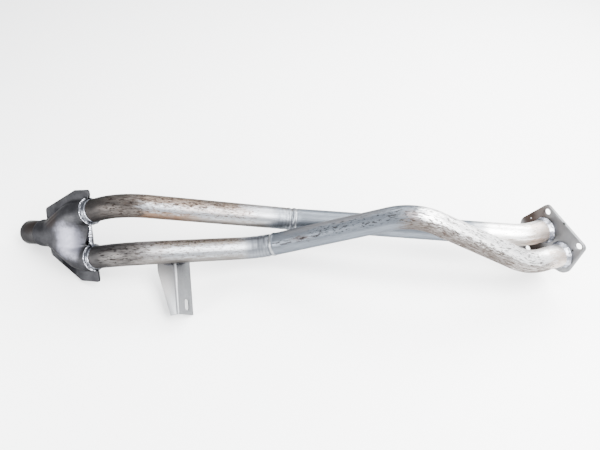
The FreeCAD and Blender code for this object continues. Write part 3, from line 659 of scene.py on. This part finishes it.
def pressedShell(name, node, side, material):
    rows, columns, sheet = collector["rows"], collector["columns"], collector["sheet"]
    last = collector["wingEnd"]
    bm = bmesh.new()
    rowPlace = bm.verts.layers.float_vector.new("rowPlace")
    bmesh.ops.create_grid(bm, x_segments=rows, y_segments=columns, size=1.0)
    verts = sorted(bm.verts, key=lambda v: (round((v.co.x + 1) * rows / 2), v.co.y))
    farBack = collector["farWebBack"] if side < 0 else 0.0
    for row in range(rows + 1):
        line = verts[row * (columns + 1):(row + 1) * (columns + 1)]
        for vert, point in zip(line, sheetRow(row / rows, farBack)):
            vert.co = point + Vector((0, 0, sheet))
    inner = [v for v in bm.verts if not v.is_boundary]
    for _ in range(collector["smoothings"]):
        bmesh.ops.smooth_vert(bm, verts=inner, factor=0.5, use_axis_x=False, use_axis_y=True, use_axis_z=True)
    # neck: the middle of the last row runs on as a half round
    neckEdges = [e for e in bm.edges if e.is_boundary
                 and all(abs(v.co.x - last) < collector["sameStation"]
                         and v.co.z > sheet + collector["neckRise"] for v in e.verts)]
    stretch = Vector(((collector["neckEnd"] - last) / collector["neckSteps"], 0, 0))
    for _ in range(collector["neckSteps"]):
        grown = bmesh.ops.extrude_edge_only(bm, edges=neckEdges)["geom"]
        ringVerts = [g for g in grown if isinstance(g, bmesh.types.BMVert)]
        neckEdges = [g for g in grown if isinstance(g, bmesh.types.BMEdge)
                     and all(v in ringVerts for v in g.verts)]
        bmesh.ops.translate(bm, verts=ringVerts, vec=stretch)
    for v in bm.verts:
        v[rowPlace] = v.co
    if side < 0:
        bmesh.ops.transform(bm, matrix=Matrix.Scale(-1, 4, Vector((0, 0, 1))), verts=bm.verts)
    bmesh.ops.transform(bm, matrix=toRow, verts=bm.verts)
    bmesh.ops.recalc_face_normals(bm, faces=bm.faces)
    outward = toRow.to_3x3() @ Vector((0, 0, side))
    if sum(f.normal.dot(outward) * f.calc_area() for f in bm.faces) < 0:
        bmesh.ops.reverse_faces(bm, faces=bm.faces)
    piece = linkMesh(bm, name, [material], [node])
    wall = piece.modifiers.new("sheet", "SOLIDIFY")
    wall.thickness = sheet
    wall.offset = -1


collectorFinish = heatedSheet("heatedPressedSteel", collector)
pressedShell("nearShellPressing", "near_shell", 1, collectorFinish)
pressedShell("farShellPressing", "far_shell", -1, collectorFinish)
print("collector made")


# what the flange and the bracket share; patterns as on the legs
rolledSteel = {
    "clouds": ((25, 25, 25), 0.3, 0.7, 5.0, 0.6), "cloudStrength": 0.4, "lineRougher": 0.08,
    "spotWander": 0.0, "spotCore": 0.3, "bumpStrength": 0.08, "bumpDepth": 0.0003,
}
inletPlate = {
    **rolledSteel, "node": "inlet_flange", "slot": "flange_plate", "edge": 0.0005,
    "origin": (0.5017, 0.0306, 0.0783), "normal": (0.93131, 0.35749, -0.06976),
    "across": (-0.3405, 0.9225, 0.18179), "thickness": 0.005, "portSpacing": 0.055,
    "lines": ((16.667, 16.667, 16.667), 0.3, 0.7, 3.0, 0.6),
    "dark": "#6a6b6c", "light": "#78787a", "cloud": "#707173", "roughness": 0.48,
    "spotsAndPaintedLight": [
        # this spot and the next: brown discolouring, with painted shade beside the rear leg
        ((0.4740, 0.0880, 0.0980), (0.058, 0.058, 0.058), "#423b38", 0.90),
        ((0.4712, 0.0960, 0.0760), (0.032, 0.032, 0.032), "#2a2320", 0.90),
        # painted shadow in the gap under the rear leg
        ((0.4820, 0.0600, 0.0380), (0.054, 0.054, 0.054), "#1d1815", 0.95),
        ((0.4995, 0.0319, 0.1274), (0.0042, 0.0042, 0.0042), "#161514", 0.95),
        ((0.5127, -0.0080, 0.0995), (0.0030, 0.0030, 0.0030), "#1a1918", 0.90),
        ((0.5098, -0.0095, 0.0522), (0.0020, 0.0020, 0.0020), "#c9cbd0", 0.90),
        ((0.4735, 0.0900, 0.0776), (0.0017, 0.0017, 0.0017), "#d0d2d6", 0.90),
    ],
}
hangerBracket = {
    **rolledSteel, "node": "bracket", "slot": "bracket_sheet", "edge": 0.0004,
    "lines": ((2, 2, 50), 0.3, 0.7, 3.0, 0.6),
    "dark": "#6c6d6f", "light": "#787a7c", "cloud": "#6b6b6d", "roughness": 0.40,
    # the spot is painted light: a lighter warm grey for the face turned to the left lamp
    "spotsAndPaintedLight": [((-0.240, -0.050, 0.045), (0.056, 0.056, 0.056), "#8d8b8a", 0.90)],
}
outletStub = {
    **heatedSteel, "node": "outlet_tube", "slot": "collector_sheet", "edge": 0.0003, "attribute": None,
    "dark": "#272727", "light": "#363536", "fine": "#2e2d2e", "roughness": 0.36, "speck": "#121212",
    "spotsAndPaintedLight": [((-0.50, 0.08, 0.06), (0.03, 0.03, 0.03), "#362f2b", 0.5)],
}
plateMesh = {"mergeWithin": 1e-5, "flatWithin": 0.6, "sharpFrom": 35, "shadeSharpFrom": 50,
             "edgeSegments": 2}


# Rolled steel, plain or galvanised: satin grey, with a faint grain along the rolling direction.
def rolledSheet(name, look):
    material = newMaterial(name)
    tree = material.node_tree
    place = addNode(tree, "ShaderNodeTexCoord", {})["Object"]
    lines, clouds = [grain(tree, place, *look[pattern]) for pattern in ("lines", "clouds")]
    surface = {"Base Color": rgb(look["dark"]), "Roughness": look["roughness"]}
    layOver(tree, surface, lines, 1.0, look["light"], look["lineRougher"])
    layOver(tree, surface, clouds, look["cloudStrength"], look["cloud"])
    addSpotsAndPaintedLight(tree, surface, place, clouds, look)
    return shadeMetal(material, surface, lines, look)


# a copy of the solid with its sharp edges broken
def softEdged(name, plate, material):
    bm = bmesh.new()
    bm.from_mesh(nodes[plate["node"]].data)
    bmesh.ops.remove_doubles(bm, verts=bm.verts, dist=plateMesh["mergeWithin"])
    bmesh.ops.dissolve_limit(bm, angle_limit=math.radians(plateMesh["flatWithin"]),
                             verts=bm.verts, edges=bm.edges)
    sharp = [e for e in bm.edges
             if e.is_manifold and e.calc_face_angle(0) > math.radians(plateMesh["sharpFrom"])]
    bmesh.ops.bevel(bm, geom=sharp, offset=plate["edge"], offset_type="OFFSET",
                    segments=plateMesh["edgeSegments"], profile=0.5, affect="EDGES", material=-1,
                    clamp_overlap=True)
    linkMesh(bm, name, [material], [plate["node"]], plateMesh["shadeSharpFrom"])


softEdged("inletPlate", inletPlate, rolledSheet("cutSteelPlate", inletPlate))
softEdged("hangerBracket", hangerBracket, rolledSheet("galvanisedSheet", hangerBracket))
softEdged("outletStub", outletStub, heatedSheet("heatedSteelTube", outletStub))
print("plates made")


# what all the welds share; patterns as on the legs
weldSteel = {"lumps": ((3.84615, 3.84615, 3.84615), 0.36, 0.66, 4.0, 0.6),
             "bumpStrength": 0.2, "bumpDepth": 0.0006}
# the ridge's lighter weld metal is a painted highlight
ridgeHighlightLook = {**weldSteel, "dark": "#7d7e84", "light": "#c9cbd4", "roughness": 0.24}
filletLook = {**weldSteel, "dark": "#3c3d41", "light": "#55575c", "roughness": 0.30}
portLook = {**weldSteel, "dark": "#737479", "light": "#a8abb5", "roughness": 0.34,
            "lumps": ((8.3333, 8.3333, 8.3333), 0.36, 0.66, 4.0, 0.6)}


# Weld metal, as it froze, lumpy: a smoother grey fillet where it wetted the tube, and on the ridge a lighter
# copy that is a painted highlight.
def weldMetal(name, look):
    material = newMaterial(name)
    tree = material.node_tree
    place = addNode(tree, "ShaderNodeTexCoord", {})["Object"]
    lumps = grain(tree, place, *look["lumps"])
    surface = {"Base Color": rgb(look["dark"]), "Roughness": look["roughness"]}
    layOver(tree, surface, lumps, 1.0, look["light"])
    return shadeMetal(material, surface, lumps, look)


ridgeHighlightFinish = weldMetal("weldMetalPaintedHighlight", ridgeHighlightLook)
filletFinish = weldMetal("greyWeldMetal", filletLook)
portFinish = weldMetal("silveryWeldMetal", portLook)

# the weld along the collector's edge between the legs
webSeam = {"from": -0.024, "step": 0.0012, "count": 41, "ahead": 0.0006, "below": 0.0018,
           "radius": 0.0029, "ragged": 0.0014, "raggedChange": 0.9, "drift": 0.0022, "driftChange": 0.6,
           "segments": 10}


def seamBead(bm, seam):
    stations = [seam["from"] + seam["step"] * n for n in range(seam["count"])]
    path = [toRow @ Vector((mouthEdge(y) - seam["ahead"], y, -seam["below"])) for y in stations]
    loops = []
    for index, point in enumerate(path):
        ahead = path[min(index + 1, len(path) - 1)] - path[max(index - 1, 0)]
        wobble = noise.noise(Vector((index * seam["raggedChange"], 4.2, 0)))
        radius = seam["radius"] + seam["ragged"] * wobble
        at = index * seam["driftChange"]
        drift = Vector((noise.noise(Vector((at, 1, 7))), noise.noise(Vector((at, 5, 3))), 0))
        placed = frameAt(point + toRow.to_3x3() @ drift * seam["drift"], ahead, imageUp)
        loops.append(bmesh.ops.create_circle(bm, segments=seam["segments"], radius=radius,
                                             matrix=placed)["verts"])
    bridgeRings(bm, zip(loops, loops[1:]))
    for loop in (loops[0], loops[-1]):
        rim = dict.fromkeys(e for v in loop for e in v.link_edges if e.is_boundary)
        bmesh.ops.contextual_create(bm, geom=list(rim))
    bmesh.ops.recalc_face_normals(bm, faces=bm.faces)


# a closed bead round a tube: a ragged ridge carrying a painted highlight, and a smooth fillet down to the
# tube
def weldRing(name, ring):
    bm = bmesh.new()
    count = ring["segments"]
    loops = []
    for index, (along, radius, ragged) in enumerate(ring["profile"]):
        loop = bmesh.ops.create_circle(bm, segments=count, radius=radius,
                                       matrix=Matrix.Translation((0, 0, along)))["verts"]
        for n, vert in enumerate(loop):
            angle = 2 * math.pi * n / count
            out = Vector((vert.co.x, vert.co.y, 0)).normalized()
            seed = Vector((math.cos(angle), math.sin(angle), 0)) * ring["waves"]
            seed += Vector((ring["seed"], 0, index * ring["rowChange"]))
            wobble = noise.noise(seed) + 0.5 * noise.noise(seed * 2.7)
            vert.co += out * ragged * (wobble * ring["ripple"] + ring["swell"])
            vert.co.z += ragged * wobble * ring["sway"]
        loops.append(loop)
    bridgeRings(bm, zip(loops, loops[1:] + loops[:1]))
    # ridge faces take the lighter weld metal as a painted highlight, the rest the grey fillet
    for face in bm.faces:
        along = face.calc_center_median().z
        face.material_index = 0 if any(low < along < high for low, high in ring["highlightStretches"]) else 1
    for vert in bm.verts:
        if vert.co.z > ring["stretchFrom"]:
            vert.co.z = ring["stretchFrom"] + (vert.co.z - ring["stretchFrom"]) * ring["stretch"]
    bmesh.ops.transform(bm, matrix=frameAt(ring["origin"], ring["axis"], imageUp), verts=bm.verts)
    bmesh.ops.recalc_face_normals(bm, faces=bm.faces)
    if ring["seam"]:
        seamBead(bm, ring["seam"])
    linkMesh(bm, name, ring["metals"], [ring["node"]], ring["shadeSharpFrom"])


# where a leg enters its socket, and the way back along the leg
def mouthRing(side, skew, lip):
    entry = axisX * math.cos(math.radians(skew)) + axisY * math.sin(math.radians(skew))
    return mouthMiddle + axisY * side * collector["legPitch"] + entry * lip, -entry


flangeNormal = Vector(inletPlate["normal"])
plateBack = Vector(inletPlate["origin"]) - flangeNormal * inletPlate["thickness"]
toPort = Vector(inletPlate["across"]) * (inletPlate["portSpacing"] / 2)
axisX, axisY = (Vector(a) for a in collector["axes"][:2])
mouthMiddle = Vector(collector["origin"])
frontMouth = mouthRing(1, collector["frontSkew"], collector["frontLip"])
rearMouth = mouthRing(-1, collector["rearSkew"], collector["rearLip"])

# profiles: distance along the axis, radius, raggedness
portProfile = [(0.0, 0.0212, 0), (0.0, 0.0244, 0.0005), (0.0012, 0.0250, 0.0006), (0.0026, 0.0243, 0.0006),
               (0.0040, 0.0231, 0.0004), (0.0056, 0.0222, 0.0003), (0.0074, 0.0218, 0.0003),
               (0.0088, 0.0212, 0)]
mouthProfile = [(0.0, 0.0212, 0), (-0.0008, 0.0240, 0.0005), (0.0006, 0.0250, 0.0011),
                (0.0018, 0.0243, 0.0010), (0.0028, 0.0231, 0.0003), (0.0046, 0.0226, 0), (0.0066, 0.0222, 0),
                (0.0080, 0.0220, 0.0001), (0.0087, 0.0222, 0.0002), (0.0094, 0.0220, 0.0002),
                (0.0100, 0.0212, 0)]
outletProfile = [(0.0, 0.0236, 0), (0.0, 0.0256, 0.0002), (0.0012, 0.0258, 0.0003), (0.0024, 0.0250, 0.0003),
                 (0.0036, 0.0242, 0.0001), (0.0040, 0.0236, 0)]
# what the beads share; the highlight list: the stretches along the axis that are ridge and not fillet,
# painted with the ridge's highlight
weldBead = {"segments": 160, "waves": 7.0, "rowChange": 0.35, "ripple": 0.9, "swell": 0.25, "sway": 1.2,
            "stretch": 1.0, "stretchFrom": 0.002, "shadeSharpFrom": 60, "seam": None,
            "metals": [ridgeHighlightFinish, filletFinish]}
portBead = {**weldBead, "axis": -flangeNormal, "profile": portProfile, "waves": 5.0, "highlightStretches": [],
            "metals": [portFinish, portFinish]}
mouthBead = {**weldBead, "profile": mouthProfile, "highlightStretches": [(-0.002, 0.0022), (0.0078, 0.0095)]}
frontPortBead = {**portBead, "node": "front_port_weld", "origin": plateBack - toPort, "seed": 3.1}
rearPortBead = {**portBead, "node": "rear_port_weld", "origin": plateBack + toPort, "seed": 8.7}
frontMouthBead = {**mouthBead, "node": "front_mouth_weld", "origin": frontMouth[0], "axis": frontMouth[1],
                  "seed": 5.3}
rearMouthBead = {**mouthBead, "node": "rear_mouth_weld", "origin": rearMouth[0], "axis": rearMouth[1],
                 "seed": 12.9, "seam": webSeam, "stretch": 1.4}
outletBead = {**weldBead, "node": "outlet_weld", "origin": mouthMiddle + axisX * collector["neckEnd"],
              "axis": axisX, "profile": outletProfile, "seed": 17.2, "highlightStretches": [(0, 0.0010)]}

weldRing("frontPortBead", frontPortBead)
weldRing("rearPortBead", rearPortBead)
weldRing("frontMouthBead", frontMouthBead)
weldRing("rearMouthBead", rearMouthBead)
weldRing("outletBead", outletBead)
nodes["bracket_weld"].data.materials.clear()
nodes["bracket_weld"].data.materials.append(filletFinish)
print("welds made")


# lamps: name, place, aim, width, height, watts
studio = {
    "floor": "#f9f9f8", "floorRoughness": 0.9, "floorShine": 0.1, "floorSize": 9.0, "floorDrop": 0.0006,
    "sky": "#d8dade", "skyStrength": 2.6,
    "lamps": [
        ("keySoftbox", (0.66, -0.45, 1.25), (0.44, 0.02, 0.08), 0.8, 1.2, 105),
        ("backSoftbox", (0.0, 1.1, 1.3), (0.0, 0.05, 0.08), 1.6, 0.6, 36),
        ("rightSoftbox", (1.05, 0.85, 1.10), (0.50, 0.0, 0.08), 0.9, 0.9, 55),
        ("leftSoftbox", (-1.12, -0.62, 0.42), (-0.38, 0.01, 0.08), 0.55, 0.45, 30),
    ],
}

bm = bmesh.new()
bmesh.ops.create_grid(bm, x_segments=1, y_segments=1, size=studio["floorSize"])
floorMesh = bpy.data.meshes.new("floor")
bm.to_mesh(floorMesh)
bm.free()
# matt painted board: an even pale ground with no shine
floorMesh.materials.append(shade(newMaterial("paleFloor"), {
    "Base Color": rgb(studio["floor"]), "Roughness": studio["floorRoughness"],
    "Specular IOR Level": studio["floorShine"]}))
floor = bpy.data.objects.new("floor", floorMesh)
floor.location = (0, 0, -studio["floorDrop"])
bpy.context.scene.collection.objects.link(floor)

for lampName, place, aim, width, height, watts in studio["lamps"]:
    lamp = bpy.data.lights.new(lampName, "AREA")
    lamp.shape = "RECTANGLE"
    lamp.size, lamp.size_y = width, height
    lamp.energy = watts
    holder = bpy.data.objects.new(lampName, lamp)
    holder.location = place
    holder.rotation_euler = (Vector(aim) - Vector(place)).to_track_quat("-Z", "Y").to_euler()
    bpy.context.scene.collection.objects.link(holder)

world = bpy.data.worlds.new("studioSky")
world.use_nodes = True
sky = world.node_tree.nodes["Background"]
sky.inputs["Color"].default_value = rgb(studio["sky"])
sky.inputs["Strength"].default_value = studio["skyStrength"]
bpy.context.scene.world = world
print("studio set")
